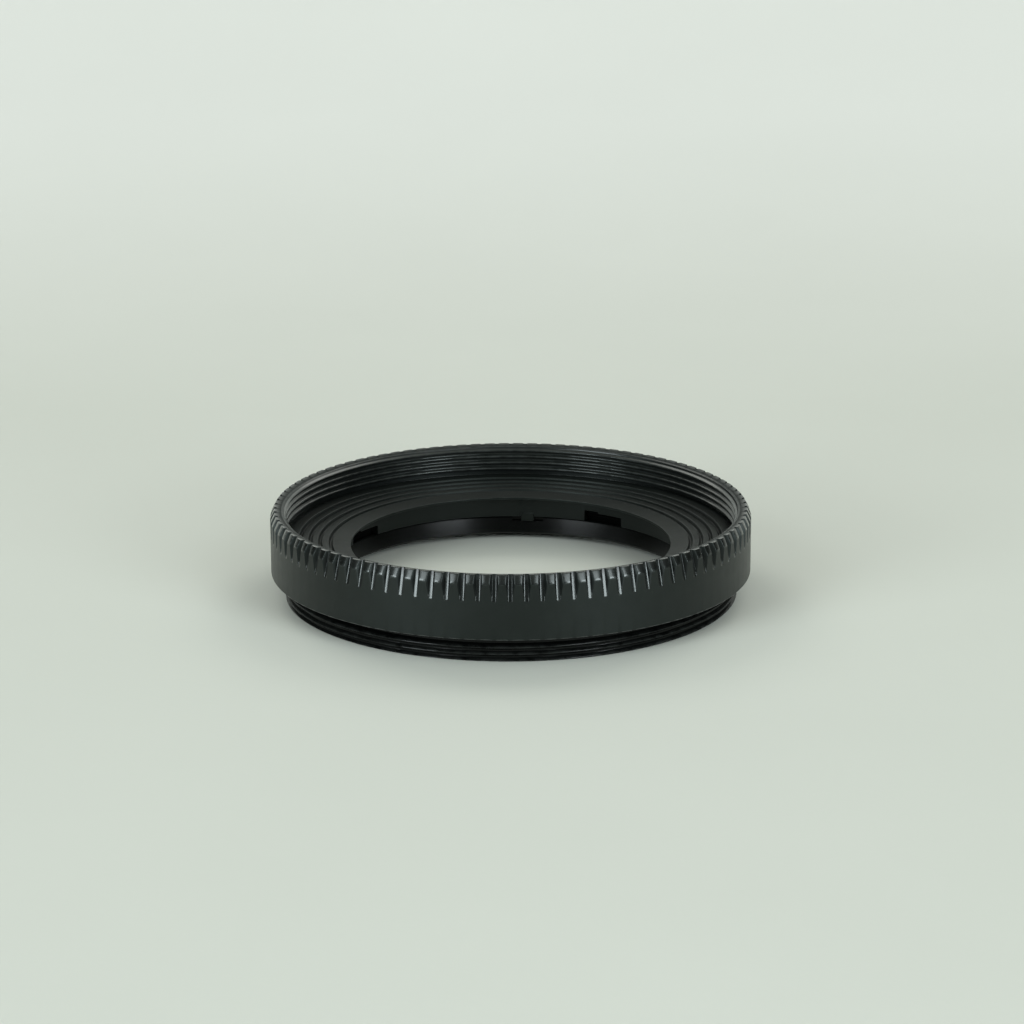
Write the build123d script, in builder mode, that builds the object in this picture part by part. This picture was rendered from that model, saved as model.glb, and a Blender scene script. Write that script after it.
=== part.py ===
from build123d import *
import math
import os

# A screw-in lens hood ring. The mount ring screws into a lens; the hood, which is the grip ring
# with its light trap and clip sleeve, turns on the mount ring by the few degrees that a stop key
# has in a notch. Millimetres, +Z towards the subject, origin in the middle of the rear face.

# ---------------------------------------------------------------- driving dimensions

# Overall
total_height = 10.25
thread_size = 52.0  # nominal diameter of both threads
thread_pitch = 0.75
thread_depth_in_pitches = 0.5413
flank_angle = 30.0
grip_wall = 1.5  # from the nominal thread out to the grip ring's wall

# Mount ring
mount_ring_height = 2.78
mount_wall = 1.93  # behind the rear thread's relief, down to the rear recess
rear_recess_depth = 0.7
rear_recess_land = 2.65  # from the rear recess in to the mount ring's bore
rear_thread_crests = 3
rear_first_crest = 0.16  # height of the first crest above the rear face
rear_relief_depth = 0.7
rear_relief_bevel = 0.18
neck_height = 1.42  # above the mount ring's top face
neck_wall = 1.29

# Clip sleeve
sleeve_wall = 0.9
sleeve_gap = 0.15  # out to the neck
sleeve_flange = 0.7
window_count = 4
window_width = 5.1
window_height = 1.08
window_step_width = 1.8
window_step_height = 0.2
window_angle = 57.3  # from +X to the first window's middle

# Stop key and its notch
key_width = 1.5
key_drop = 0.55  # below the hood's underside
key_angle = 84.4
stop_angle = 3.0  # the hood's turn each way before the key meets the notch
notch_depth = 0.58

# Snap ring and friction washer
snap_width = 0.6
snap_thickness = 0.5
snap_height = 0.85  # its middle above the mount ring's top face
snap_bite = 0.3  # how far it stands in the neck
snap_gap_angle = 6.0
snap_end_angle = 327.3  # the gap is behind a window
washer_thickness = 0.28

# Grip ring
shoulder_thickness = 2.85  # from the underside up to the light trap's seat
seat_width = 2.45
relief_depth = 0.3  # beyond the nominal thread
relief_height = 0.6
relief_bevel = 0.08
front_first_crest = 0.55  # below the front face
top_chamfer_width = 0.47
top_chamfer_height = 0.95
edge_break = 0.12

# Grip grooves
groove_count = 98
groove_valley = 0.38  # width of its flat bottom
groove_flare = 28.0  # angle of each side wall from the radius
groove_depth = 0.78  # at the top face
groove_length = 2.96
first_groove_angle = 1.7

# Light trap
baffle_rim = 1.1  # thickness at its rim
lip_overhang = 2.1  # in from the sleeve's bore to the opening
lip_thickness = 0.24
baffle_fall = 1.02  # from the rim's top down to the lip's top
baffle_spigot = 0.55  # below the seat
trap_groove_radii_in = (1.25, 2.35, 3.45, 4.65)  # in from the rim
trap_groove_width = 0.46
trap_groove_floor = 0.15
trap_groove_depth = 0.34

# Clearances
seam = 0.12  # between the mount ring and the hood
running_clearance = 0.06
axial_clearance = 0.02
seat_clearance = 0.03
rim_gap = 0.3  # from the light trap's rim to the filter thread's crests
thread_clearance = 0.05
cut_margin = 1.0  # how far a cut starts outside the metal

# ---------------------------------------------------------------- sizes that follow

thread_depth = thread_depth_in_pitches * thread_pitch
crest_flat = thread_pitch / 8
flank_height = thread_depth * math.tan(math.radians(flank_angle))
nominal_radius = thread_size / 2

outer_radius = nominal_radius + grip_wall
rear_crest_radius = nominal_radius - thread_clearance
rear_root_radius = rear_crest_radius - thread_depth
rear_relief_radius = rear_crest_radius - rear_relief_depth
recess_radius = rear_relief_radius - mount_wall
mount_bore_radius = recess_radius - rear_recess_land

front_root_radius = nominal_radius + thread_clearance
front_crest_radius = nominal_radius - thread_depth
front_relief_radius = nominal_radius + relief_depth
baffle_radius = front_crest_radius - rim_gap
seat_bore_radius = baffle_radius + seat_clearance
shoulder_bore_radius = baffle_radius - seat_width

neck_outer_radius = shoulder_bore_radius - running_clearance
neck_inner_radius = neck_outer_radius - neck_wall
sleeve_outer_radius = neck_inner_radius - sleeve_gap
sleeve_bore_radius = sleeve_outer_radius - sleeve_wall
opening_radius = sleeve_bore_radius - lip_overhang

hood_bottom = mount_ring_height + seam
neck_top = mount_ring_height + neck_height
washer_bottom = neck_top + axial_clearance
sleeve_flange_bottom = washer_bottom + washer_thickness
sleeve_top = sleeve_flange_bottom + sleeve_flange
seat_height = hood_bottom + shoulder_thickness
baffle_rim_top = seat_height + baffle_rim
baffle_bottom = seat_height - baffle_spigot
lip_top = baffle_rim_top - baffle_fall
snap_groove_bottom = mount_ring_height + snap_height - snap_thickness / 2
key_top = snap_groove_bottom - seat_clearance
chamfer_bottom = total_height - top_chamfer_height
groove_bottom = total_height - groove_length
key_half_angle = math.degrees(math.asin(key_width / 2 / mount_bore_radius))

os.makedirs("parts", exist_ok=True)


def thread_ridge(crest_radius, root_radius, crest_height):
    """The four corners of one ring of thread, from its lower root to its upper root."""
    rise = crest_flat / 2
    return [
        (root_radius, crest_height - rise - flank_height),
        (crest_radius, crest_height - rise),
        (crest_radius, crest_height + rise),
        (root_radius, crest_height + rise + flank_height),
    ]


# ---------------------------------------------------------------- mount ring

first_crest_edge = rear_first_crest - crest_flat / 2
rear_edge_radius = rear_crest_radius - first_crest_edge / math.tan(math.radians(flank_angle))
rear_thread = [(rear_edge_radius, 0)]
for turn in range(rear_thread_crests):
    ridge = thread_ridge(
        rear_crest_radius, rear_root_radius, rear_first_crest + turn * thread_pitch
    )
    rear_thread += ridge[1:] if turn == 0 else ridge
rear_relief_bottom = rear_thread[-1][1]

with BuildPart() as mount_ring:
    with BuildSketch(Plane.XZ):
        with BuildLine():
            Polyline(
                *rear_thread,
                (rear_relief_radius, rear_relief_bottom + rear_relief_bevel),
                (rear_relief_radius, mount_ring_height),
                (neck_outer_radius, mount_ring_height),
                (neck_outer_radius, neck_top),
                (neck_inner_radius, neck_top),
                (neck_inner_radius, mount_ring_height),
                (mount_bore_radius, mount_ring_height),
                (mount_bore_radius, rear_recess_depth),
                (recess_radius, rear_recess_depth),
                (recess_radius, 0),
                close=True,
            )
        make_face()
    revolve(axis=Axis.Z)
    # groove that holds the snap ring
    with BuildSketch(Plane.XY.offset(snap_groove_bottom)):
        Circle(neck_inner_radius + snap_bite)
        Circle(neck_inner_radius - seam, mode=Mode.SUBTRACT)
    extrude(amount=snap_thickness, mode=Mode.SUBTRACT)
    # notch for the stop key, open to the bore
    notch_half_angle = key_half_angle + stop_angle
    with BuildSketch(Plane.XY.offset(mount_ring_height - notch_depth)):
        with BuildLine():
            notch_inner = mount_bore_radius - cut_margin
            notch_outer = sleeve_outer_radius + running_clearance
            notch_start = key_angle - notch_half_angle
            inner_arc = CenterArc((0, 0), notch_inner, notch_start, 2 * notch_half_angle)
            outer_arc = CenterArc((0, 0), notch_outer, notch_start, 2 * notch_half_angle)
            Line(inner_arc @ 0, outer_arc @ 0)
            Line(inner_arc @ 1, outer_arc @ 1)
        make_face()
    extrude(amount=notch_depth, mode=Mode.SUBTRACT)
    bore_edges = mount_ring.edges().filter_by(GeomType.CIRCLE)
    rear_edge = bore_edges.filter_by(
        lambda edge: abs(edge.radius - mount_bore_radius) < running_clearance
        and edge.center().Z < rear_recess_depth + rear_relief_bevel
    )
    chamfer(rear_edge, edge_break)

mount_ring.part.label = "mount_ring"
export_step(mount_ring.part, "parts/mount_ring.step")

# ---------------------------------------------------------------- snap ring

snap_outer_radius = neck_inner_radius + snap_bite - axial_clearance
snap_inner_radius = snap_outer_radius - snap_width
with BuildPart() as snap_ring:
    with BuildSketch(Plane.XY.offset(snap_groove_bottom + axial_clearance)):
        Circle(snap_outer_radius)
        Circle(snap_inner_radius, mode=Mode.SUBTRACT)
        with Locations(Location((0, 0, 0), (0, 0, snap_end_angle))):
            snap_gap = 2 * snap_outer_radius * math.sin(math.radians(snap_gap_angle / 2))
            Rectangle(
                2 * snap_outer_radius,
                snap_gap,
                align=(Align.MIN, Align.CENTER),
                mode=Mode.SUBTRACT,
            )
    extrude(amount=snap_thickness - 2 * axial_clearance)

snap_ring.part.label = "snap_ring"
export_step(snap_ring.part, "parts/snap_ring.step")

# ---------------------------------------------------------------- clip sleeve

with BuildPart() as clip_sleeve:
    with BuildSketch(Plane.XZ):
        with BuildLine():
            Polyline(
                (sleeve_bore_radius, hood_bottom),
                (sleeve_outer_radius, hood_bottom),
                (sleeve_outer_radius, sleeve_flange_bottom),
                (shoulder_bore_radius - seat_clearance, sleeve_flange_bottom),
                (shoulder_bore_radius - seat_clearance, sleeve_top),
                (sleeve_bore_radius, sleeve_top),
                close=True,
            )
        make_face()
    revolve(axis=Axis.Z)
    # groove in which the snap ring turns
    with BuildSketch(Plane.XY.offset(snap_groove_bottom)):
        Circle(sleeve_outer_radius + seam)
        Circle(snap_inner_radius - running_clearance, mode=Mode.SUBTRACT)
    extrude(amount=snap_thickness, mode=Mode.SUBTRACT)
    # windows, each with a taller step at one side
    with BuildSketch(Plane.XY.offset(hood_bottom)):
        with PolarLocations(sleeve_bore_radius, window_count, window_angle):
            Rectangle(sleeve_wall + 2 * cut_margin, window_width)
    extrude(amount=window_height, mode=Mode.SUBTRACT)
    with BuildSketch(Plane.XY.offset(hood_bottom)):
        with PolarLocations(sleeve_bore_radius, window_count, window_angle):
            with Locations((0, (window_width - window_step_width) / 2)):
                Rectangle(sleeve_wall + 2 * cut_margin, window_step_width)
    extrude(amount=window_height + window_step_height, mode=Mode.SUBTRACT)
    # slot for the stop key
    with BuildSketch(Plane.XY.offset(hood_bottom)):
        with PolarLocations(sleeve_bore_radius, 1, key_angle):
            Rectangle(sleeve_wall + 2 * cut_margin, key_width + 2 * seat_clearance)
    extrude(amount=key_top - hood_bottom, mode=Mode.SUBTRACT)

clip_sleeve.part.label = "clip_sleeve"
export_step(clip_sleeve.part, "parts/clip_sleeve.step")

# ---------------------------------------------------------------- stop key

with BuildPart() as stop_key:
    with BuildSketch(Plane.XY.offset(hood_bottom - key_drop)):
        with BuildLine():
            key_start = key_angle - 2 * key_half_angle
            key_sweep = 4 * key_half_angle
            key_inner = CenterArc((0, 0), sleeve_bore_radius, key_start, key_sweep)
            key_outer = CenterArc((0, 0), sleeve_outer_radius, key_start, key_sweep)
            Line(key_inner @ 0, key_outer @ 0)
            Line(key_inner @ 1, key_outer @ 1)
        make_face()
        with PolarLocations(sleeve_bore_radius, 1, key_angle):
            Rectangle(2 * sleeve_wall + cut_margin, key_width, mode=Mode.INTERSECT)
    extrude(amount=key_drop + key_top - hood_bottom)

stop_key.part.label = "stop_key"
export_step(stop_key.part, "parts/stop_key.step")

# ---------------------------------------------------------------- friction washer

with BuildPart() as friction_washer:
    with BuildSketch(Plane.XY.offset(washer_bottom)):
        Circle(neck_outer_radius)
        Circle(neck_inner_radius, mode=Mode.SUBTRACT)
    extrude(amount=washer_thickness)

friction_washer.part.label = "friction_washer"
export_step(friction_washer.part, "parts/friction_washer.step")

# ---------------------------------------------------------------- light trap


def baffle_top(radius):
    """Height of the light trap's cone at a radius."""
    share = (baffle_radius - radius) / (baffle_radius - opening_radius)
    return baffle_rim_top - baffle_fall * share


with BuildPart() as baffle:
    with BuildSketch(Plane.XZ):
        with BuildLine():
            Polyline(
                (opening_radius, lip_top - lip_thickness),
                (sleeve_bore_radius, baffle_bottom),
                (shoulder_bore_radius - seat_clearance, baffle_bottom),
                (shoulder_bore_radius - seat_clearance, seat_height),
                (baffle_radius, seat_height),
                (baffle_radius, baffle_rim_top),
                (opening_radius, lip_top),
                close=True,
            )
        make_face()
        for step_in in trap_groove_radii_in:
            middle = baffle_radius - step_in
            half = trap_groove_width / 2
            half_floor = trap_groove_floor / 2
            with BuildLine():
                Polyline(
                    (middle - half, baffle_top(middle - half)),
                    (middle - half, baffle_top(middle) + trap_groove_depth),
                    (middle + half, baffle_top(middle) + trap_groove_depth),
                    (middle + half, baffle_top(middle + half)),
                    (middle + half_floor, baffle_top(middle) - trap_groove_depth),
                    (middle - half_floor, baffle_top(middle) - trap_groove_depth),
                    close=True,
                )
            make_face(mode=Mode.SUBTRACT)
    revolve(axis=Axis.Z)

baffle.part.label = "baffle"
export_step(baffle.part, "parts/baffle.step")

# ---------------------------------------------------------------- grip ring

front_relief_top = baffle_rim_top + relief_height / 2
front_crests = int(
    (total_height - front_first_crest - front_relief_top - flank_height) / thread_pitch
) + 1
front_thread = []
for turn in reversed(range(front_crests)):
    crest_height = total_height - front_first_crest - turn * thread_pitch
    front_thread += thread_ridge(front_crest_radius, front_root_radius, crest_height)


def slot_outline(valley_radius):
    """A groove's four corners, in plan, from its valley to just outside the grip ring's wall."""
    mouth_radius = outer_radius + edge_break
    flare = (mouth_radius - valley_radius) * math.tan(math.radians(groove_flare))
    half_mouth = groove_valley / 2 + flare
    return [
        (valley_radius, -groove_valley / 2),
        (valley_radius, groove_valley / 2),
        (mouth_radius, half_mouth),
        (mouth_radius, -half_mouth),
    ]


# one groove's cutter: its valley slopes in from the wall, at the lower tip, to full depth at the top
groove_slope = groove_depth / groove_length
cutter_bottom = groove_bottom - edge_break / 2 / groove_slope
with BuildPart() as groove_cutter:
    with BuildSketch(Plane.XY.offset(cutter_bottom)):
        with BuildLine():
            Polyline(*slot_outline(outer_radius + edge_break / 2), close=True)
        make_face()
    with BuildSketch(Plane.XY.offset(total_height + edge_break)):
        with BuildLine():
            top_valley_radius = outer_radius - groove_depth - edge_break * groove_slope
            Polyline(*slot_outline(top_valley_radius), close=True)
        make_face()
    loft()

with BuildPart() as grip_ring:
    with BuildSketch(Plane.XZ):
        with BuildLine():
            Polyline(
                (shoulder_bore_radius, hood_bottom),
                (outer_radius - edge_break, hood_bottom),
                (outer_radius, hood_bottom + edge_break),
                (outer_radius, chamfer_bottom),
                (outer_radius - top_chamfer_width, total_height),
                (front_root_radius + edge_break, total_height),
                (front_root_radius, total_height - edge_break),
                *reversed(front_thread),
                (front_relief_radius, front_thread[0][1] - relief_bevel),
                (front_relief_radius, baffle_rim_top - relief_height / 2),
                (seat_bore_radius, baffle_rim_top - relief_height / 2),
                (seat_bore_radius, seat_height),
                (shoulder_bore_radius, seat_height),
                close=True,
            )
        make_face()
    revolve(axis=Axis.Z)
    for index in range(groove_count):
        angle = first_groove_angle + index * 360 / groove_count
        add(groove_cutter.part, rotation=(0, 0, angle), mode=Mode.SUBTRACT, clean=False)

grip_ring.part.label = "grip_ring"
export_step(grip_ring.part, "parts/grip_ring.step")

print("outer radius", round(outer_radius, 3), "opening radius", round(opening_radius, 3))
print("sleeve bore", round(sleeve_bore_radius, 3), "mount bore", round(mount_bore_radius, 3))
print("baffle rim top", round(baffle_rim_top, 3), "lip top", round(lip_top, 3), "crests", front_crests)
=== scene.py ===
import math
import bmesh
import bpy
import numpy as np
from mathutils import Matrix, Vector


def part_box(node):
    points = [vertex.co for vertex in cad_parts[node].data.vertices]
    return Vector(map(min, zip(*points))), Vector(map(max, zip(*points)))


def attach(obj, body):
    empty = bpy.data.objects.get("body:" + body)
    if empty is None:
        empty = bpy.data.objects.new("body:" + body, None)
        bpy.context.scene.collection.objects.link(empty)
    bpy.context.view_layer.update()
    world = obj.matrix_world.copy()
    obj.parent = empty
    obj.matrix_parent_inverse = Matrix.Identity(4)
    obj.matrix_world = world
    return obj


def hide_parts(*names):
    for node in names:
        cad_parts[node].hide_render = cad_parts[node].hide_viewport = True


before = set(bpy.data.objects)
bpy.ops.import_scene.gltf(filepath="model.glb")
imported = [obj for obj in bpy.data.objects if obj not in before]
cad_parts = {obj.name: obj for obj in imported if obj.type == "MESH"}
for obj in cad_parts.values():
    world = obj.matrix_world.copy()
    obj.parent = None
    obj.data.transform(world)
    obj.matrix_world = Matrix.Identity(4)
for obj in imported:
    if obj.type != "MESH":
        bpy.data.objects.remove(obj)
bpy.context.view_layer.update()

MM = 0.001

# ---------------------------------------------------------------- sizes read from the frame


def radii(node):
    """The smallest and largest distance of a CAD node's vertices from the axis, in metres."""
    away = [math.hypot(v.co.x, v.co.y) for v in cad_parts[node].data.vertices]
    return min(away), max(away)


def heights(node):
    """The lowest and highest point of a CAD node, in metres."""
    low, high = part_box(node)
    return low.z, high.z


outer_radius = radii("grip_ring")[1]
shoulder_bore = radii("grip_ring")[0]
hood_bottom, total_height = heights("grip_ring")
mount_bore, rear_crest = radii("mount_ring")
neck_top = heights("mount_ring")[1]
opening_radius, baffle_radius = radii("baffle")
baffle_bottom, baffle_rim_top = heights("baffle")
sleeve_bore, sleeve_flange = radii("clip_sleeve")
sleeve_top = heights("clip_sleeve")[1]
key_low, key_high = heights("stop_key")
snap_inner, snap_outer = radii("snap_ring")
snap_low, snap_high = heights("snap_ring")
washer_inner, washer_outer = radii("friction_washer")
washer_low, washer_high = heights("friction_washer")

# ---------------------------------------------------------------- sizes of the details

pitch = 0.75 * MM
thread_depth = 0.5413 * pitch
thread_rows = 18  # rows of points for each turn
rear_crest_in_front = 0.1 * MM  # height of the rear thread's lowest crest at -Y
rear_thread_top = 1.95 * MM
rear_lead_in = 0.14 * MM  # the rear thread starts this far inside its crests
rear_lead_slope = 1.7  # how fast it comes out to them
rear_run_out = 0.18 * MM  # the height over which it ends in its relief
# thread crests are painted paler, as rubbed wear and as painted highlight lines along the crests
rear_crest_wear_and_glint = 0.55
front_crest_at_back = 7.375 * MM  # height of the front thread's lowest crest at +Y
front_lead_in = 0.12 * MM
front_run_in = 0.4 * MM  # the height over which the front thread comes up from the rim
front_valley_fill = 0.3  # share of its depth that stands between its crests
# the front thread's crests are painted paler too, as wear and as painted highlight
front_crest_wear_and_glint = 0.45

groove_count = 98
first_groove = math.radians(1.7)  # where the middle of one groove is
groove_half_valley = 0.22 * MM
groove_flare = math.tan(math.radians(28.0))  # each side wall leans out from the radius
groove_dish = 0.016 * MM  # how far the valley's edges stand above its middle
groove_depth = 0.78 * MM  # at the top face
groove_length = 2.96 * MM
top_chamfer_width = 0.47 * MM
top_chamfer_height = 0.95 * MM
wall_chamfer_foot = total_height - top_chamfer_height
top_edge_radius = outer_radius - top_chamfer_width
rim_fall = 0.13 * MM  # the top face dips towards the thread
edge_bevel = 0.13 * MM

mount_top = 2.78 * MM
rear_relief = rear_crest - 0.7 * MM
rear_recess_radius = 23.32 * MM
rear_recess_depth = 0.7 * MM
bore_flare = 0.42 * MM  # the mount ring's bore widens towards its top
neck_inner = washer_inner
neck_outer = washer_outer
snap_groove = snap_outer + 0.02 * MM
snap_groove_low = snap_low - 0.02 * MM
snap_groove_high = snap_high + 0.02 * MM
notch_floor = mount_top - 0.58 * MM
gap_bottom = mount_top - 0.17 * MM  # where the dark gap round the snap ring begins
sleeve_outer = neck_inner - 0.15 * MM
notch_outer = sleeve_outer + 0.06 * MM
key_angle = math.radians(84.4)
key_half = math.asin(0.75 * MM / mount_bore)  # half the key's width, as an angle
key_slot_half = key_half + 0.0014
notch_half = key_half + math.radians(3.0)  # the key's play to each side

window_angles = [math.radians(57.3 + 90 * i) for i in range(4)]
window_half = math.asin(2.55 * MM / sleeve_bore)  # half a window's width, as an angle
window_step = math.asin(0.75 * MM / sleeve_bore)  # from the middle to the step
window_top = hood_bottom + 1.08 * MM
window_step_top = hood_bottom + 1.28 * MM

relief_radius = 26.3 * MM
relief_bottom = baffle_rim_top - 0.3 * MM
relief_top = 7.2 * MM
front_root = 26.05 * MM
seat_bore = baffle_radius + 0.03 * MM
seat_height = baffle_bottom + 0.55 * MM
trap_grooves_in = (1.25 * MM, 2.35 * MM, 3.45 * MM, 4.65 * MM)
trap_groove_half = 0.23 * MM  # its flat bottom is a third as wide
trap_groove_depth = 0.34 * MM
lip_thickness = 0.24 * MM
baffle_fall = 1.02 * MM  # the cone's, from its rim to the light opening

# ---------------------------------------------------------------- dull and brightly cut places


def dull_share(r, z):
    """How dull a place is: wholly in the gap round the snap ring, and partly on the rim's top face."""
    across_gap = mount_bore + 0.6 * bore_flare < r < snap_groove + 0.01 * MM
    if across_gap and gap_bottom < z < snap_high + 0.2 * MM:
        return 1.0
    on_rim = r < top_edge_radius - 0.15 * MM and z > total_height - 0.3 * MM
    return 0.6 * on_rim


def in_rear_bore(r, z):
    """1 in the mount ring's own bore below the gap, and 0 elsewhere."""
    across_bore = mount_bore - 0.01 * MM < r < snap_inner
    return float(across_bore and rear_recess_depth < z < gap_bottom)


# ---------------------------------------------------------------- mesh building

weld_distance = 0.0005 * MM
shortest_edge = 0.0002 * MM
sharp_angle = math.radians(38)


def bend_corners(corners, segments=3):
    """A closed outline of (r, z, setback, wear) corners as points, each rounded over its setback. Wear
    paints an edge paler, both as rubbed wear and as a painted highlight.
    """
    points = []
    count = len(corners)
    for i, (r, z, setback, wear_and_glint) in enumerate(corners):
        here = np.array((r, z))
        if setback == 0:
            points.append((r, z, wear_and_glint))
            continue
        ends = []
        for j in (i - 1, (i + 1) % count):
            away = np.array(corners[j][:2]) - here
            length = np.linalg.norm(away)
            # neighbouring curves never meet, since each takes less than half of its side
            ends.append(here + away * min(setback / max(length, 1e-9), 0.45))
        for s in np.linspace(0, 1, segments + 1):
            r_s, z_s = (1 - s) ** 2 * ends[0] + 2 * s * (1 - s) * here + s**2 * ends[1]
            points.append((r_s, z_s, wear_and_glint if 0 < s < 1 else 0))
    return points


def turn_outward(bm):
    """Faces point out of the closed solid."""
    bmesh.ops.recalc_face_normals(bm, faces=bm.faces)
    if bm.calc_volume(signed=True) < 0:
        bmesh.ops.reverse_faces(bm, faces=bm.faces)


def finish_mesh(name, points, faces, wear_and_glint, cut=None):
    """A smooth-shaded object from points, faces, each point's paler edge colour (rubbed wear and painted
    highlight) and its share of bright cutting.

    How dull a point is comes from its place.
    """
    mesh = bpy.data.meshes.new(name)
    mesh.from_pydata([tuple(p) for p in points], [], faces)
    dull = [dull_share(math.hypot(x, y), z) for x, y, z in points]
    cut = [0.0] * len(wear_and_glint) if cut is None else cut
    for label, values in (("wear_and_glint", wear_and_glint), ("cut", cut), ("dull", dull)):
        layer = mesh.attributes.new(label, "FLOAT", "POINT")
        layer.data.foreach_set("value", np.asarray(values, np.float32))
    bm = bmesh.new()
    bm.from_mesh(mesh)
    bmesh.ops.remove_doubles(bm, verts=bm.verts, dist=weld_distance)
    bmesh.ops.dissolve_degenerate(bm, edges=bm.edges, dist=shortest_edge)
    turn_outward(bm)
    bm.to_mesh(mesh)
    bm.free()
    mesh.shade_smooth()
    mesh.set_sharp_from_angle(angle=sharp_angle)
    obj = bpy.data.objects.new(name, mesh)
    bpy.context.scene.collection.objects.link(obj)
    weighted = obj.modifiers.new("weighted_normals", "WEIGHTED_NORMAL")
    weighted.keep_sharp = True
    return obj


def on_axis(theta, r, z):
    """A point at an angle about the axis."""
    return (r * math.cos(theta), r * math.sin(theta), z)


def ring(name, angles, column, cut_at=None):
    """A closed ring: column(theta) gives the same number of (r, z, wear) points at each angle; wear paints
    an edge paler, as rubbed wear and as painted highlight.

    cut_at(r, z), where it is given, is the share of bright cutting at a place.
    """
    columns = [column(theta) for theta in angles]
    rows = len(columns[0])
    points = [on_axis(a, r, z) for a, c in zip(angles, columns) for r, z, _ in c]
    wear_and_glint = [w for c in columns for _, _, w in c]
    cut = [cut_at(r, z) for c in columns for r, z, _ in c] if cut_at else None
    faces = []
    for i in range(len(angles)):
        k = (i + 1) % len(angles)
        for j in range(rows):
            n = (j + 1) % rows
            faces.append((i * rows + j, k * rows + j, k * rows + n, i * rows + n))
    return finish_mesh(name, points, faces, wear_and_glint, cut)


def arc_bar(name, start, stop, corners, steps, inset):
    """A bar bent about the axis from start to stop, whose ends are bevelled by inset."""
    middle_r = sum(c[0] for c in corners) / len(corners)
    middle_z = sum(c[1] for c in corners) / len(corners)
    outline = bend_corners(corners)
    angles = np.linspace(start, stop, steps)
    tilt = inset / middle_r
    angles = np.concatenate(([start], [start + tilt], angles[1:-1], [stop - tilt], [stop]))
    points, wear_and_glint = [], []
    for i, theta in enumerate(angles):
        shrink = inset if i in (0, len(angles) - 1) else 0
        for r, z, w in outline:
            r_in = r - shrink * np.sign(r - middle_r)
            z_in = z - shrink * np.sign(z - middle_z)
            points.append(on_axis(theta, r_in, z_in))
            wear_and_glint.append(max(w, 1.0 if shrink else 0.0))
    rows = len(outline)
    faces = [tuple(range(rows)), tuple(range((len(angles) - 1) * rows, len(angles) * rows))]
    for i in range(len(angles) - 1):
        for j in range(rows):
            n = (j + 1) % rows
            faces.append((i * rows + j, i * rows + n, (i + 1) * rows + n, (i + 1) * rows + j))
    return finish_mesh(name, points, faces, wear_and_glint)


def even_angles(count, edges=()):
    """Angles round the axis, with a close pair at each edge, where an outline jumps."""
    angles = list(np.linspace(0, 2 * math.pi, count, endpoint=False))
    gap = math.radians(0.04)
    for edge in edges:
        edge %= 2 * math.pi
        angles = [a for a in angles if abs(a - edge) > 3 * gap]
        angles += [edge - gap, edge + gap]
    return sorted(angles)


def within(theta, middle, half):
    """Whether an angle is inside a stretch about the axis."""
    return abs((theta - middle + math.pi) % (2 * math.pi) - math.pi) < half


# ---------------------------------------------------------------- threads


def ridge_share(z, theta, crest_z, crest_theta):
    """How much of the thread's depth stands at a height and angle, on a right-hand helix."""
    crest_edge, root_edge = 0.07, 0.375  # in pitches from the middle of a crest
    turn = (z - crest_z) / pitch - (theta - crest_theta) / (2 * math.pi)
    away = np.abs(turn - np.round(turn))
    slope = np.clip((away - crest_edge) / (root_edge - crest_edge), 0, 1)
    soft = slope * slope * (3 - 2 * slope)
    return 1 - (0.45 * slope + 0.55 * soft)


# ---------------------------------------------------------------- mount ring


def mount_column(theta):
    """The mount ring's outline at an angle: thread, relief, neck, notch, bore and rear recess."""
    steps = np.arange(0, rear_thread_top, pitch / thread_rows)
    share = ridge_share(steps, theta, rear_crest_in_front, 1.5 * math.pi)
    thread = rear_crest - thread_depth * (1 - share)
    thread = np.minimum(thread, rear_crest - rear_lead_in + steps * rear_lead_slope)
    run_out = np.clip((rear_thread_top - steps) / rear_run_out, 0, 1)
    thread = rear_relief + (thread - rear_relief) * run_out
    points = [(r, z, rear_crest_wear_and_glint * s) for r, z, s in zip(thread, steps, share)]
    floor = notch_floor if within(theta, key_angle, notch_half) else mount_top
    bore_height = floor - rear_recess_depth
    flare = bore_flare * bore_height / (mount_top - rear_recess_depth)
    flare_rows = [
        (mount_bore + s * flare, rear_recess_depth + s * bore_height, 0, 0)
        for s in (0.94, 0.87, 0.1)
    ]
    edge = 0.05 * MM
    corners = [
        (rear_relief, rear_thread_top, 0, 0),
        (rear_relief, mount_top, edge, 0.8),
        (neck_outer, mount_top, 0, 0),
        (neck_outer, neck_top, edge, 0.5),
        (neck_inner, neck_top, edge, 0.5),
        (neck_inner, snap_groove_high, 0, 0),
        (snap_groove, snap_groove_high, 0, 0),
        (snap_groove, snap_groove_low, 0, 0),
        (neck_inner, snap_groove_low, 0, 0),
        (neck_inner, mount_top, 0, 0),
        (notch_outer, mount_top, 0, 0),
        (notch_outer, floor, 0, 0),
        (mount_bore + flare, floor, 0.6 * edge, 0),
        *flare_rows,
        (mount_bore, rear_recess_depth, 2 * edge, 1),
        (rear_recess_radius, rear_recess_depth, 0, 0),
        (rear_recess_radius, 0, edge, 0.8),
        (rear_crest - 0.2 * MM, 0, 0, 0.8),
    ]
    return points + bend_corners(corners)


def make_mount_ring():
    """The threaded rear ring, with a close pair of columns at each end of its notch."""
    notch_ends = (key_angle - notch_half, key_angle + notch_half)
    return ring("mount_ring_turned", even_angles(400, notch_ends), mount_column, in_rear_bore)


# ---------------------------------------------------------------- clip sleeve, key, snap ring, washer


def sleeve_edge(theta):
    """Height of the sleeve's lower edge, raised in its windows and its key slot."""
    for angle in window_angles:
        if within(theta, angle, window_half):
            turned = (theta - angle + math.pi) % (2 * math.pi) - math.pi
            return window_step_top if turned > window_step else window_top
    return key_high if within(theta, key_angle, key_slot_half) else hood_bottom


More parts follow.
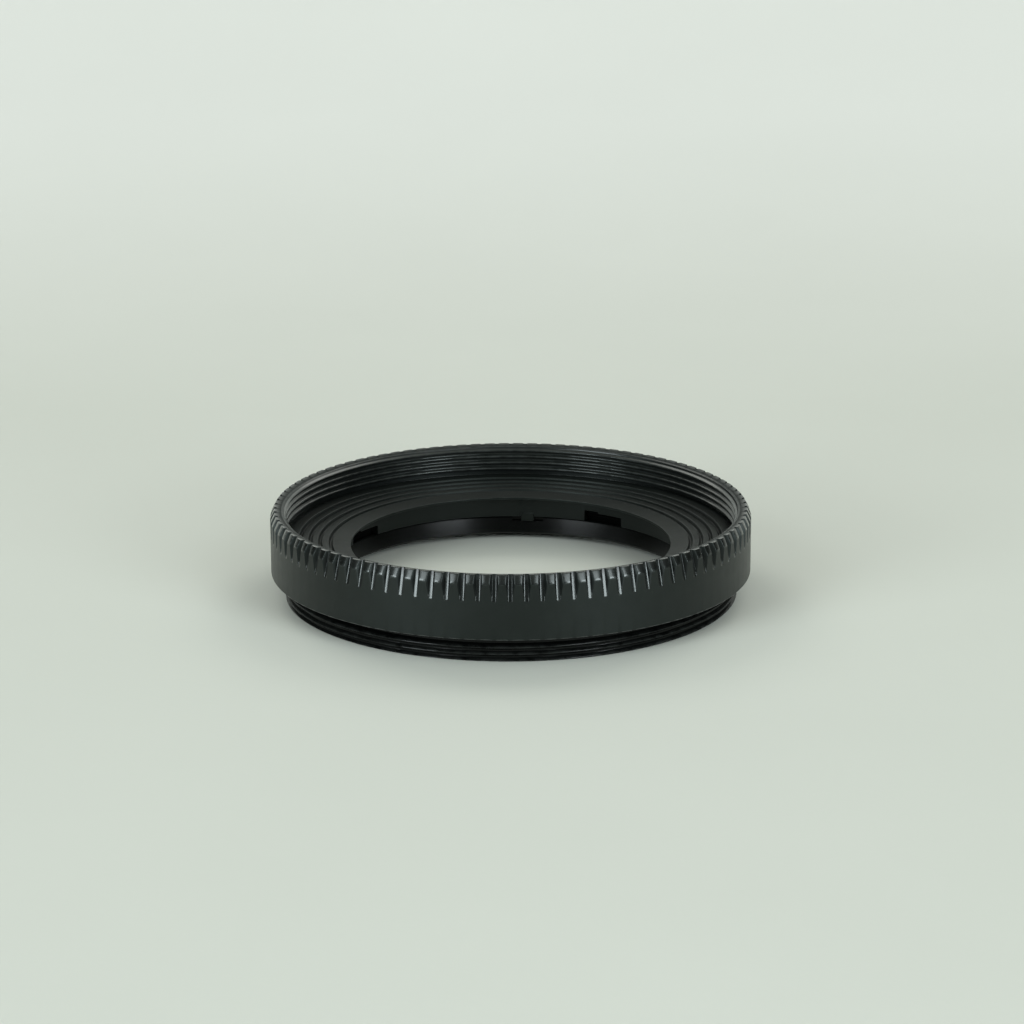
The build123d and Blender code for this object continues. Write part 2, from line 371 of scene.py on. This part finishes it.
def sleeve_column(theta):
    """The clip sleeve's outline at an angle: lower edge, snap ring's groove, flange and bore."""
    edge_z = sleeve_edge(theta)
    break_size = 0.05 * MM
    lowest = edge_z + 2 * break_size
    groove_low, groove_high = max(snap_groove_low, lowest), max(snap_groove_high, lowest)
    groove_r = snap_inner - 0.06 * MM if edge_z < snap_groove_high else sleeve_outer
    corners = [
        (sleeve_bore, edge_z, 1.4 * break_size, 1),
        (sleeve_outer, edge_z, break_size, 0.5),
        (sleeve_outer, groove_low, 0, 0),
        (groove_r, groove_low, 0, 0),
        (groove_r, groove_high, 0, 0),
        (sleeve_outer, groove_high, 0, 0),
        (sleeve_outer, washer_high, 0, 0),
        (sleeve_flange, washer_high, 0, 0),
        (sleeve_flange, sleeve_top, break_size, 0),
        (sleeve_bore, sleeve_top, break_size, 0.5),
    ]
    return bend_corners(corners)


def make_clip_sleeve():
    """The sleeve behind the lip, with close pairs of columns where its lower edge jumps."""
    edges = [key_angle - key_slot_half, key_angle + key_slot_half]
    for angle in window_angles:
        edges += [angle - window_half, angle + window_step, angle + window_half]
    return ring("clip_sleeve_milled", even_angles(400, edges), sleeve_column)


def block_corners(r_low, r_high, z_low, z_high, setback, wear_and_glint):
    """A rectangle's four corners as a rounded outline."""
    places = ((r_low, z_low), (r_high, z_low), (r_high, z_high), (r_low, z_high))
    return [(r, z, setback, wear_and_glint) for r, z in places]


def make_stop_key():
    """The key that stands in the mount ring's notch."""
    corners = block_corners(sleeve_bore, sleeve_outer, key_low, key_high, 0.08 * MM, 1)
    start, stop = key_angle - key_half, key_angle + key_half
    return arc_bar("stop_key_block", start, stop, corners, 9, 0.05 * MM)


def make_snap_ring():
    """A flat wire ring, open at the fourth window."""
    corners = block_corners(snap_inner, snap_outer, snap_low, snap_high, 0.12 * MM, 0.4)
    half_gap = math.radians(3.0)
    middle = window_angles[3]
    start, stop = middle + half_gap, middle + 2 * math.pi - half_gap
    return arc_bar("snap_ring_wire", start, stop, corners, 300, 0.05 * MM)


def make_friction_washer():
    """The thin washer between the neck and the sleeve's flange."""
    outline = bend_corners(
        block_corners(washer_inner, washer_outer, washer_low, washer_high, 0.04 * MM, 0.2)
    )
    return ring("friction_washer_disc", even_angles(240), lambda theta: outline)


# ---------------------------------------------------------------- light trap


def cone_height(r):
    """Height of the light trap's cone at a radius."""
    share = (baffle_radius - r) / (baffle_radius - opening_radius)
    return baffle_rim_top - baffle_fall * share


def make_baffle():
    """The conical disc: lip, underside, spigot, rim and the grooves of its upper face."""
    edge = 0.05 * MM
    spigot = sleeve_flange
    corners = [
        (opening_radius, cone_height(opening_radius) - lip_thickness, edge, 1),
        (sleeve_bore, baffle_bottom, edge, 0),
        (spigot, baffle_bottom, edge, 0),
        (spigot, seat_height, 0, 0),
        (baffle_radius, seat_height, edge, 0),
        (baffle_radius, baffle_rim_top, edge, 0.7),
    ]
    for step_in in trap_grooves_in:
        middle = baffle_radius - step_in
        outside, inside = middle + trap_groove_half, middle - trap_groove_half
        bottom = cone_height(middle) - trap_groove_depth
        corners += [
            (outside, cone_height(outside), 0.04 * MM, 0.7),
            (middle + trap_groove_half / 3, bottom, 0.06 * MM, 0),
            (middle - trap_groove_half / 3, bottom, 0.06 * MM, 0),
            (inside, cone_height(inside), 0.04 * MM, 0.7),
        ]
    corners.append((opening_radius, cone_height(opening_radius), edge, 1))
    outline = bend_corners(corners)
    return ring("baffle_turned", even_angles(360), lambda theta: outline)


# ---------------------------------------------------------------- grip ring

inner_per_groove = 4  # wide columns of points inside the ring for each groove outside
inner_cut = 0.5  # how brightly the inside is cut
close_end_below = outer_radius - 1.2 * MM  # where the wall's close columns stop on the underside
close_end_above = front_root + 0.26 * MM  # and on the top face
wide_end_below = outer_radius - 1.5 * MM  # where the wide ones stop on the underside


def wall_outline():
    """The grip ring's outer (r, z, wear) outline with no grooves, from its underside to its top face; wear
    paints edges paler as rubbed wear and as painted highlight.
    """
    edge = 0.09 * MM
    tall_stretch = 0.6 * MM
    corners = [
        (close_end_below, hood_bottom, 0, 0),
        # the bevel at the foot is painted fully paler, as rubbed wear and as the painted highlight along
        # the bottom edge
        (outer_radius - edge_bevel, hood_bottom, 0.03 * MM, 1),
        (outer_radius, hood_bottom + edge_bevel, 0.03 * MM, 1),
        (outer_radius, wall_chamfer_foot, 0.22 * MM, 0.3),
        (top_edge_radius, total_height, edge, 0.6),
        (close_end_above, total_height - rim_fall, 0, 0),
    ]
    points = []
    bent = bend_corners(corners, segments=4)
    # the way back from the last corner to the first is left to the inner outline
    for here, after in zip(bent[:-1], bent[1:]):
        points.append(here)
        rise = after[1] - here[1]
        if rise > tall_stretch:
            for z in split_heights(here[1], after[1]):
                s = (z - here[1]) / rise
                points.append((here[0] + s * (after[0] - here[0]), z, 0))
    points.append(bent[-1])
    return points


def split_heights(low, high):
    """Row heights on a tall stretch of wall, close together where the grooves begin."""
    tip = total_height - groove_length
    above_tip = np.array((-1.6, -0.2, 0, 0.03, 0.07, 0.12, 0.2, 0.4, 0.7, 1.1, 1.5)) * MM
    return [tip + step for step in above_tip if low + 0.03 * MM < tip + step < high - 0.03 * MM]


def groove_floor(z):
    """Radius of a grip groove's valley, which slopes in from the wall at its lower tip."""
    return outer_radius - groove_depth * (z - total_height + groove_length) / groove_length


def grooved_row(r, z, wear_and_glint):
    """One row of the grooved wall as (angle, r, z, wear, cut) all round the ring; wear paints edges paler
    as rubbed wear and as painted highlight.
    """
    depth = max(r - groove_floor(z), 0.0)
    side = max(depth - groove_dish, 0.0) * groove_flare
    rim = groove_half_valley + side
    half_land = math.pi * r / groove_count
    foot = min(0.3 * side, 0.03 * MM)
    apart = 0.002 * MM  # keeps the columns apart where the groove has no side walls
    rim_break = min(0.012 * MM, 0.3 * depth)
    # distances along the wall from the middle of the valley to the middle of the land
    away = np.array(
        (
            0,
            0.5 * groove_half_valley,
            0.84 * groove_half_valley,
            groove_half_valley,
            groove_half_valley + foot + apart,
            rim - foot + 2 * apart,
            rim + 4 * apart,
            rim + 0.045 * MM,
            half_land,
        )
    )
    dish = groove_dish * np.minimum(away / groove_half_valley, 1) ** 2
    wall = np.maximum(away - groove_half_valley, 0) / groove_flare
    lift = np.array((0, 0, 0, 0.008, 0.004, 0, 0, 0, 0)) * MM  # rounds the valley's foot
    section = np.minimum(groove_floor(z) + dish + wall + lift, r)
    section[-2:] = r
    on_chamfer = z > wall_chamfer_foot - 0.1 * MM
    section[-3] = r - rim_break if on_chamfer else r
    in_groove = 1.0 if depth > 0 else 0.0
    # the groove rims on the chamfer are painted a little paler, as wear and as painted highlights on their
    # edges
    wears_and_glints = (0, 0, 0, 0, 0, 0, 0.2 * on_chamfer, 0.1 * on_chamfer, wear_and_glint)
    on_top_face = r < top_edge_radius - 0.1 * MM
    turned_bevel = on_chamfer or z < hood_bottom + 1.1 * edge_bevel
    land_cut = 1.0 if turned_bevel and not on_top_face else 0.0
    cuts = [in_groove] * 4 + [0.1 * in_groove, 0, 0, land_cut, land_cut]
    half = list(zip(away, section, wears_and_glints, cuts))
    full = [(-t, *rest) for t, *rest in half[:0:-1]] + half[:-1]
    row = []
    for index in range(groove_count):
        middle = first_groove + index * 2 * math.pi / groove_count
        row += [(middle + t / r, groove_r, z, wear_glint, cut) for t, groove_r, wear_glint, cut in full]
    return row


def inner_column(theta):
    """The grip ring's inner outline at an angle, from its top face down the thread to its underside."""
    edge = 0.05 * MM
    rim_edge = total_height - rim_fall
    points = [
        (front_root + 1.5 * front_lead_in, rim_edge - 0.1 * front_lead_in, 0),
        (front_root + front_lead_in, rim_edge - 0.2 * front_lead_in, 0.5),
        (front_root + 0.4 * front_lead_in, rim_edge - 0.6 * front_lead_in, 0.5),
    ]
    steps = np.arange(rim_edge - front_lead_in, relief_top, -pitch / thread_rows)
    share = ridge_share(steps, theta, front_crest_at_back, 0.5 * math.pi)
    fade = np.clip((rim_edge - steps) / front_run_in, 0, 1)
    standing = front_valley_fill + (1 - front_valley_fill) * share
    thread = front_root - thread_depth * standing * fade
    points += [(r, z, front_crest_wear_and_glint * s) for r, z, s in zip(thread, steps, share)]
    corners = [
        (relief_radius, relief_top - 0.1 * MM, edge, 0),
        (relief_radius, relief_bottom, edge, 0),
        (seat_bore, relief_bottom, edge, 0.4),
        (seat_bore, seat_height, 0, 0),
        (shoulder_bore, seat_height, edge, 0),
        (shoulder_bore, hood_bottom, edge, 0.6),
        (wide_end_below, hood_bottom, 0, 0),
    ]
    return points + bend_corners(corners)


def band(base, rows, count):
    """The faces between rows of points that go all round the ring, whose first point is base."""
    faces = []
    for j in range(rows - 1):
        low, high = base + j * count, base + (j + 1) * count
        for i in range(count):
            k = (i + 1) % count
            faces.append((low + i, low + k, high + k, high + i))
    return faces


def make_grip_ring():
    """The outer wall has close columns that follow each groove, and the inside has fewer."""
    outer_rows = [grooved_row(*p) for p in wall_outline()]
    fine = len(outer_rows[0])
    coarse = groove_count * inner_per_groove
    per = fine // coarse
    angles = [outer_rows[0][i * per][0] for i in range(coarse)]
    columns = [inner_column(a) for a in angles]
    inner_rows = len(columns[0])
    points = [on_axis(a, r, z) for row in outer_rows for a, r, z, _, _ in row]
    wear_and_glint = [w for row in outer_rows for _, _, _, w, _ in row]
    cut = [c for row in outer_rows for _, _, _, _, c in row]
    base = len(points)
    for j in range(inner_rows):
        points += [on_axis(a, c[j][0], c[j][1]) for a, c in zip(angles, columns)]
        wear_and_glint += [c[j][2] for c in columns]
        cut += [inner_cut] * coarse
    faces = band(0, len(outer_rows), fine) + band(base, inner_rows, coarse)
    # the two flat bands where close columns meet wide ones
    for outer_row, inner_row in ((len(outer_rows) - 1, 0), (0, inner_rows - 1)):
        inner = base + inner_row * coarse
        for i in range(coarse):
            k = (i + 1) % coarse
            rim = [outer_row * fine + (i * per + s) % fine for s in range(per + 1)]
            faces.append((inner + k, inner + i, *rim))
    return finish_mesh("grip_ring_turned", points, faces, wear_and_glint, cut)


# ---------------------------------------------------------------- materials

WORN_AND_GLINT = (0.06, 0.066, 0.062)  # the paler colour where the black is rubbed off, also used for painted highlights on edges and crests


class Nodes:
    """A short way to write a material's node tree."""

    def __init__(self, name):
        self.material = bpy.data.materials.new(name)
        self.material.use_nodes = True
        self.tree = self.material.node_tree
        self.shader = self.tree.nodes["Principled BSDF"]
        self.place = self.tree.nodes.new("ShaderNodeTexCoord").outputs["Object"]

    def add(self, kind, inputs=None, **settings):
        """A node whose inputs are values or other nodes' outputs."""
        node = self.tree.nodes.new(kind)
        for key, value in settings.items():
            setattr(node, key, value)
        for key, value in (inputs or {}).items():
            if isinstance(value, bpy.types.NodeSocket):
                self.tree.links.new(value, node.inputs[key])
            else:
                node.inputs[key].default_value = value
        return node

    def noise(self, size, detail=3.0, roughness=0.5):
        """Noise whose features are about size metres across."""
        inputs = {"Vector": self.place, "Scale": 1 / size, "Detail": detail, "Roughness": roughness}
        return self.add("ShaderNodeTexNoise", inputs).outputs["Fac"]

    def spread(self, value, low, high, out_low=0.0, out_high=1.0):
        """A value between low and high, stretched to out_low and out_high."""
        inputs = {
            "Value": value,
            "From Min": low,
            "From Max": high,
            "To Min": out_low,
            "To Max": out_high,
        }
        return self.add("ShaderNodeMapRange", inputs).outputs["Result"]

    def maths(self, operation, a, b):
        """The result of a Math node."""
        return self.add("ShaderNodeMath", {0: a, 1: b}, operation=operation).outputs[0]

    def mix(self, share, a, b):
        """Colour a where share is 0, and b where it is 1."""
        # a colour mix has its factor at input 0 and its colours at inputs 6 and 7
        return self.add("ShaderNodeMix", {0: share, 6: a, 7: b}, data_type="RGBA").outputs[2]

    def attribute(self, name):
        """A value that the mesh holds for each of its points."""
        return self.add("ShaderNodeAttribute", attribute_name=name).outputs["Fac"]

    def link(self, value, socket):
        """Feeds the shader's socket with a value that varies over the surface."""
        self.tree.links.new(value, self.shader.inputs[socket])

    def fix(self, socket, value):
        """Sets the shader's socket to a value that is the same all over the surface."""
        self.shader.inputs[socket].default_value = value

    def relief(self, strength, distance, height):
        """Bumps the surface."""
        inputs = {"Strength": strength, "Distance": distance, "Height": height}
        self.link(self.add("ShaderNodeBump", inputs).outputs["Normal"], "Normal")


def dark_finish(
    name,
    dark,
    light,
    roughness,
    specular,
    coat,
    grain,
    grain_depth,
    wear_and_glint_share,
    cut_coat=0,
    cut_smooth=0,
):
    """A dark finish on metal or plastic: cloudy dye, fine grain, a film as a coat, and paler edges,
    painted both as rubbed wear and as edge highlights.

    cut_coat is how much more coat there is on bright cut faces, and cut_smooth how much smoother they are.
    """
    n = Nodes(name)
    clouds = n.noise(2.6 * MM, 3.0)
    speckle = n.noise(grain, 2.0, 0.6)
    dye = n.mix(n.spread(clouds, 0.35, 0.65), (*dark, 1), (*light, 1))
    dye = n.mix(n.spread(speckle, 0.6, 0.8, 0.0, 0.1), dye, (*WORN_AND_GLINT, 1))
    # edges, rims and crests are painted paler in patches, for rubbed wear and as painted highlights
    edge = n.attribute("wear_and_glint")
    patchy = n.spread(n.noise(0.9 * MM, 3.0), 0.3, 0.62)
    worn_and_glint = n.maths("MULTIPLY", n.maths("MULTIPLY", edge, patchy), wear_and_glint_share)
    n.link(n.mix(worn_and_glint, dye, (*WORN_AND_GLINT, 1)), "Base Color")
    patches = n.spread(n.noise(1.6 * MM, 3.0), 0.3, 0.7, roughness - 0.02, roughness + 0.02)
    rough = n.maths("SUBTRACT", patches, n.maths("MULTIPLY", worn_and_glint, 0.1))
    n.fix("Coat Weight", coat)
    if cut_coat:
        cut = n.attribute("cut")
        dull = n.attribute("dull")
        rough = n.maths("SUBTRACT", rough, n.maths("MULTIPLY", cut, cut_smooth))
        rough = n.maths("ADD", rough, n.maths("MULTIPLY", dull, 0.8))
        film = n.spread(dull, 0, 1, coat, 0.0)
        n.link(n.maths("ADD", film, n.maths("MULTIPLY", cut, cut_coat)), "Coat Weight")
    n.link(rough, "Roughness")
    n.relief(1.0, grain_depth, n.noise(grain, 3.0, 0.65))
    n.fix("Specular IOR Level", specular)
    n.fix("Specular Tint", (0.86, 1.0, 0.96, 1))
    n.fix("Coat Roughness", 0.2)
    return n.material


def floor_material():
    """A pale greenish grey board with a faint tooth, with painted light that makes it paler behind the
    object.
    """
    n = Nodes("pale_board")
    tone = n.spread(n.noise(60 * MM, 3.0), 0.3, 0.7)
    near = n.mix(tone, (0.625, 0.648, 0.59, 1), (0.64, 0.663, 0.605, 1))
    painted_lighter_back = n.mix(tone, (0.715, 0.735, 0.7, 1), (0.73, 0.75, 0.715, 1))
    along = n.add("ShaderNodeSeparateXYZ", {0: n.place}).outputs["Y"]
    # painted light: the board turns paler towards the back, standing in for the stronger light on the
    # sweep behind the object
    n.link(n.mix(n.spread(along, 0.08, 0.25), near, painted_lighter_back), "Base Color")
    n.fix("Roughness", 0.75)
    n.fix("Specular IOR Level", 0.25)
    n.relief(0.25, 0.05 * MM, n.noise(0.8 * MM, 3.0))
    return n.material


# ---------------------------------------------------------------- camera, light and floor

camera_distance = 0.4433
camera_elevation = 16.29  # degrees
camera_roll = -0.19  # degrees
softbox_distance = 0.9
COOL = (0.92, 1.0, 1.03)
WARM = (1.0, 1.0, 0.95)
SOFTBOXES = (
    # name, azimuth, elevation, (width, height), radiance, colour
    ("softbox_left", -46, 12, (0.38, 0.28), 10.8, COOL),
    ("softbox_right", 41, 12, (0.38, 0.28), 10.8, COOL),
    ("softbox_left_top", -42, 31, (0.44, 0.3), 4.4, COOL),
    ("softbox_right_top", 34, 31, (0.44, 0.3), 4.4, COOL),
    ("softbox_back_left", -146, 40, (0.4, 0.4), 2.9, WARM),
    ("softbox_back_right", 146, 40, (0.4, 0.4), 2.9, WARM),
)
sweep_half = 3.0  # the paper's half width, and how far it comes forward


def direction(azimuth, elevation):
    """The unit vector towards a place: azimuth 0 is -Y, where the photographer stands, and 90 is +X."""
    a, e = math.radians(azimuth), math.radians(elevation)
    return Vector((math.sin(a) * math.cos(e), -math.cos(a) * math.cos(e), math.sin(e)))


def aim(obj, target):
    """Points an object's -Z at a target."""
    obj.rotation_euler = (target - obj.location).to_track_quat("-Z", "Y").to_euler()


def make_camera():
    """A long lens on a full-frame sensor, in front of the object and a little above it."""
    data = bpy.data.cameras.new("camera")
    data.lens = 136.1
    data.sensor_width = 36
    data.clip_start = 0.01
    camera = bpy.data.objects.new("camera", data)
    bpy.context.scene.collection.objects.link(camera)
    target = Vector((0.16 * MM, 0, total_height - 0.84 * MM))
    camera.location = target + direction(0, camera_elevation) * camera_distance
    aim(camera, target)
    camera.rotation_euler.rotate_axis("Z", math.radians(camera_roll))
    bpy.context.scene.camera = camera


def softbox(name, azimuth, elevation, size, radiance, colour):
    """A rectangular area light, as bright as radiance, that looks at the object."""
    data = bpy.data.lights.new(name, "AREA")
    data.shape = "RECTANGLE"
    data.size, data.size_y = size
    data.energy = radiance * math.pi * size[0] * size[1]
    data.color = colour
    lamp = bpy.data.objects.new(name, data)
    bpy.context.scene.collection.objects.link(lamp)
    lamp.location = direction(azimuth, elevation) * softbox_distance
    aim(lamp, Vector((0, 0, 0)))


def sweep_outline():
    """The paper sweep's (y, z) points: a flat table that curves up behind the object."""
    floor_z, bend_y, bend_radius = -0.02 * MM, 0.15, 0.6
    bend = [math.radians(3 * i) for i in range(23)]  # it ends 66 degrees up
    curve = [(bend_y + bend_radius * math.sin(a), floor_z + bend_radius * (1 - math.cos(a))) for a in bend]
    return [(-sweep_half, floor_z), *curve]


def make_world():
    """A dark room that grows light overhead."""
    world = bpy.data.worlds.new("studio")
    world.use_nodes = True
    tree = world.node_tree
    background = tree.nodes["Background"]
    background.inputs["Color"].default_value = (0.96, 1.0, 0.93, 1)
    sky_height = tree.nodes.new("ShaderNodeSeparateXYZ")
    tree.links.new(tree.nodes.new("ShaderNodeTexCoord").outputs["Generated"], sky_height.inputs[0])
    dark_room = tree.nodes.new("ShaderNodeMapRange")
    limits = {"From Min": 0.35, "From Max": 0.85, "To Min": 0.02, "To Max": 0.54}
    for socket, value in limits.items():
        dark_room.inputs[socket].default_value = value
    tree.links.new(sky_height.outputs["Z"], dark_room.inputs["Value"])
    tree.links.new(dark_room.outputs["Result"], background.inputs["Strength"])
    bpy.context.scene.world = world
    bpy.context.scene.view_settings.view_transform = "Standard"


def make_sweep():
    """The paper that the object stands on."""
    outline = sweep_outline()
    points = [(x, y, z) for y, z in outline for x in (-sweep_half, sweep_half)]
    faces = [(2 * i, 2 * i + 1, 2 * i + 3, 2 * i + 2) for i in range(len(outline) - 1)]
    mesh = bpy.data.meshes.new("paper_sweep")
    mesh.from_pydata(points, [], faces)
    mesh.shade_smooth()
    mesh.materials.append(floor_material())
    sweep = bpy.data.objects.new("paper_sweep", mesh)
    bpy.context.scene.collection.objects.link(sweep)


# ---------------------------------------------------------------- the whole object

make_camera()
make_world()
for box in SOFTBOXES:
    softbox(*box)
make_sweep()

satin_black = dark_finish(
    "satin_black",
    dark=(0.003, 0.0038, 0.0034),
    light=(0.0045, 0.0055, 0.005),
    roughness=0.42,
    specular=0.29,
    coat=0.08,
    grain=0.11 * MM,
    grain_depth=0.003 * MM,
    wear_and_glint_share=0.7,
    cut_coat=0.6,
    cut_smooth=0.14,
)
trap_black = dark_finish(
    "light_trap_black",
    dark=(0.004, 0.0052, 0.0046),
    light=(0.0055, 0.007, 0.0062),
    roughness=0.42,
    specular=0.17,
    coat=0.04,
    grain=0.1 * MM,
    grain_depth=0.003 * MM,
    wear_and_glint_share=0.4,
)
sleeve_black = dark_finish(
    "sleeve_black",
    dark=(0.003, 0.0038, 0.0035),
    light=(0.0042, 0.005, 0.0045),
    roughness=0.38,
    specular=0.2,
    coat=0.1,
    grain=0.1 * MM,
    grain_depth=0.002 * MM,
    wear_and_glint_share=0.3,
)
gloss_black = dark_finish(
    "gloss_black",
    dark=(0.0015, 0.0018, 0.0017),
    light=(0.0022, 0.0026, 0.0024),
    roughness=0.19,
    specular=0.0,
    coat=0.4,
    grain=0.12 * MM,
    grain_depth=0.0004 * MM,
    wear_and_glint_share=0.4,
    cut_coat=0.55,
)
key_black = dark_finish(
    "key_black",
    dark=(0.004, 0.005, 0.004),
    light=(0.006, 0.007, 0.006),
    roughness=0.4,
    specular=0.2,
    coat=0.05,
    grain=0.08 * MM,
    grain_depth=0.001 * MM,
    wear_and_glint_share=0.3,
)
spring_black = dark_finish(
    "spring_black",
    dark=(0.0015, 0.0015, 0.0015),
    light=(0.002, 0.002, 0.002),
    roughness=0.8,
    specular=0.0,
    coat=0.0,
    grain=0.2 * MM,
    grain_depth=0.001 * MM,
    wear_and_glint_share=0.2,
)
washer_grey = dark_finish(
    "washer_grey",
    dark=(0.03, 0.03, 0.03),
    light=(0.04, 0.04, 0.04),
    roughness=0.55,
    specular=0.4,
    coat=0.0,
    grain=0.15 * MM,
    grain_depth=0.003 * MM,
    wear_and_glint_share=0.1,
)

PIECES = (
    # maker, body, CAD node that it replaces, material slot, material
    (make_mount_ring, "mount", "mount_ring", "black_gloss_anodised", gloss_black),
    (make_snap_ring, "mount", "snap_ring", "blackened_spring_steel", spring_black),
    (make_clip_sleeve, "hood", "clip_sleeve", "black_matte_anodised", sleeve_black),
    (make_stop_key, "hood", "stop_key", "blackened_key_steel", key_black),
    (make_friction_washer, "hood", "friction_washer", "washer_plastic", washer_grey),
    (make_baffle, "hood", "baffle", "black_light_trap", trap_black),
    (make_grip_ring, "hood", "grip_ring", "black_satin_anodised", satin_black),
)
for make, body, node, slot, material in PIECES:
    piece = make()
    piece.data.materials.append(material)
    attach(piece, body)
    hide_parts(node)
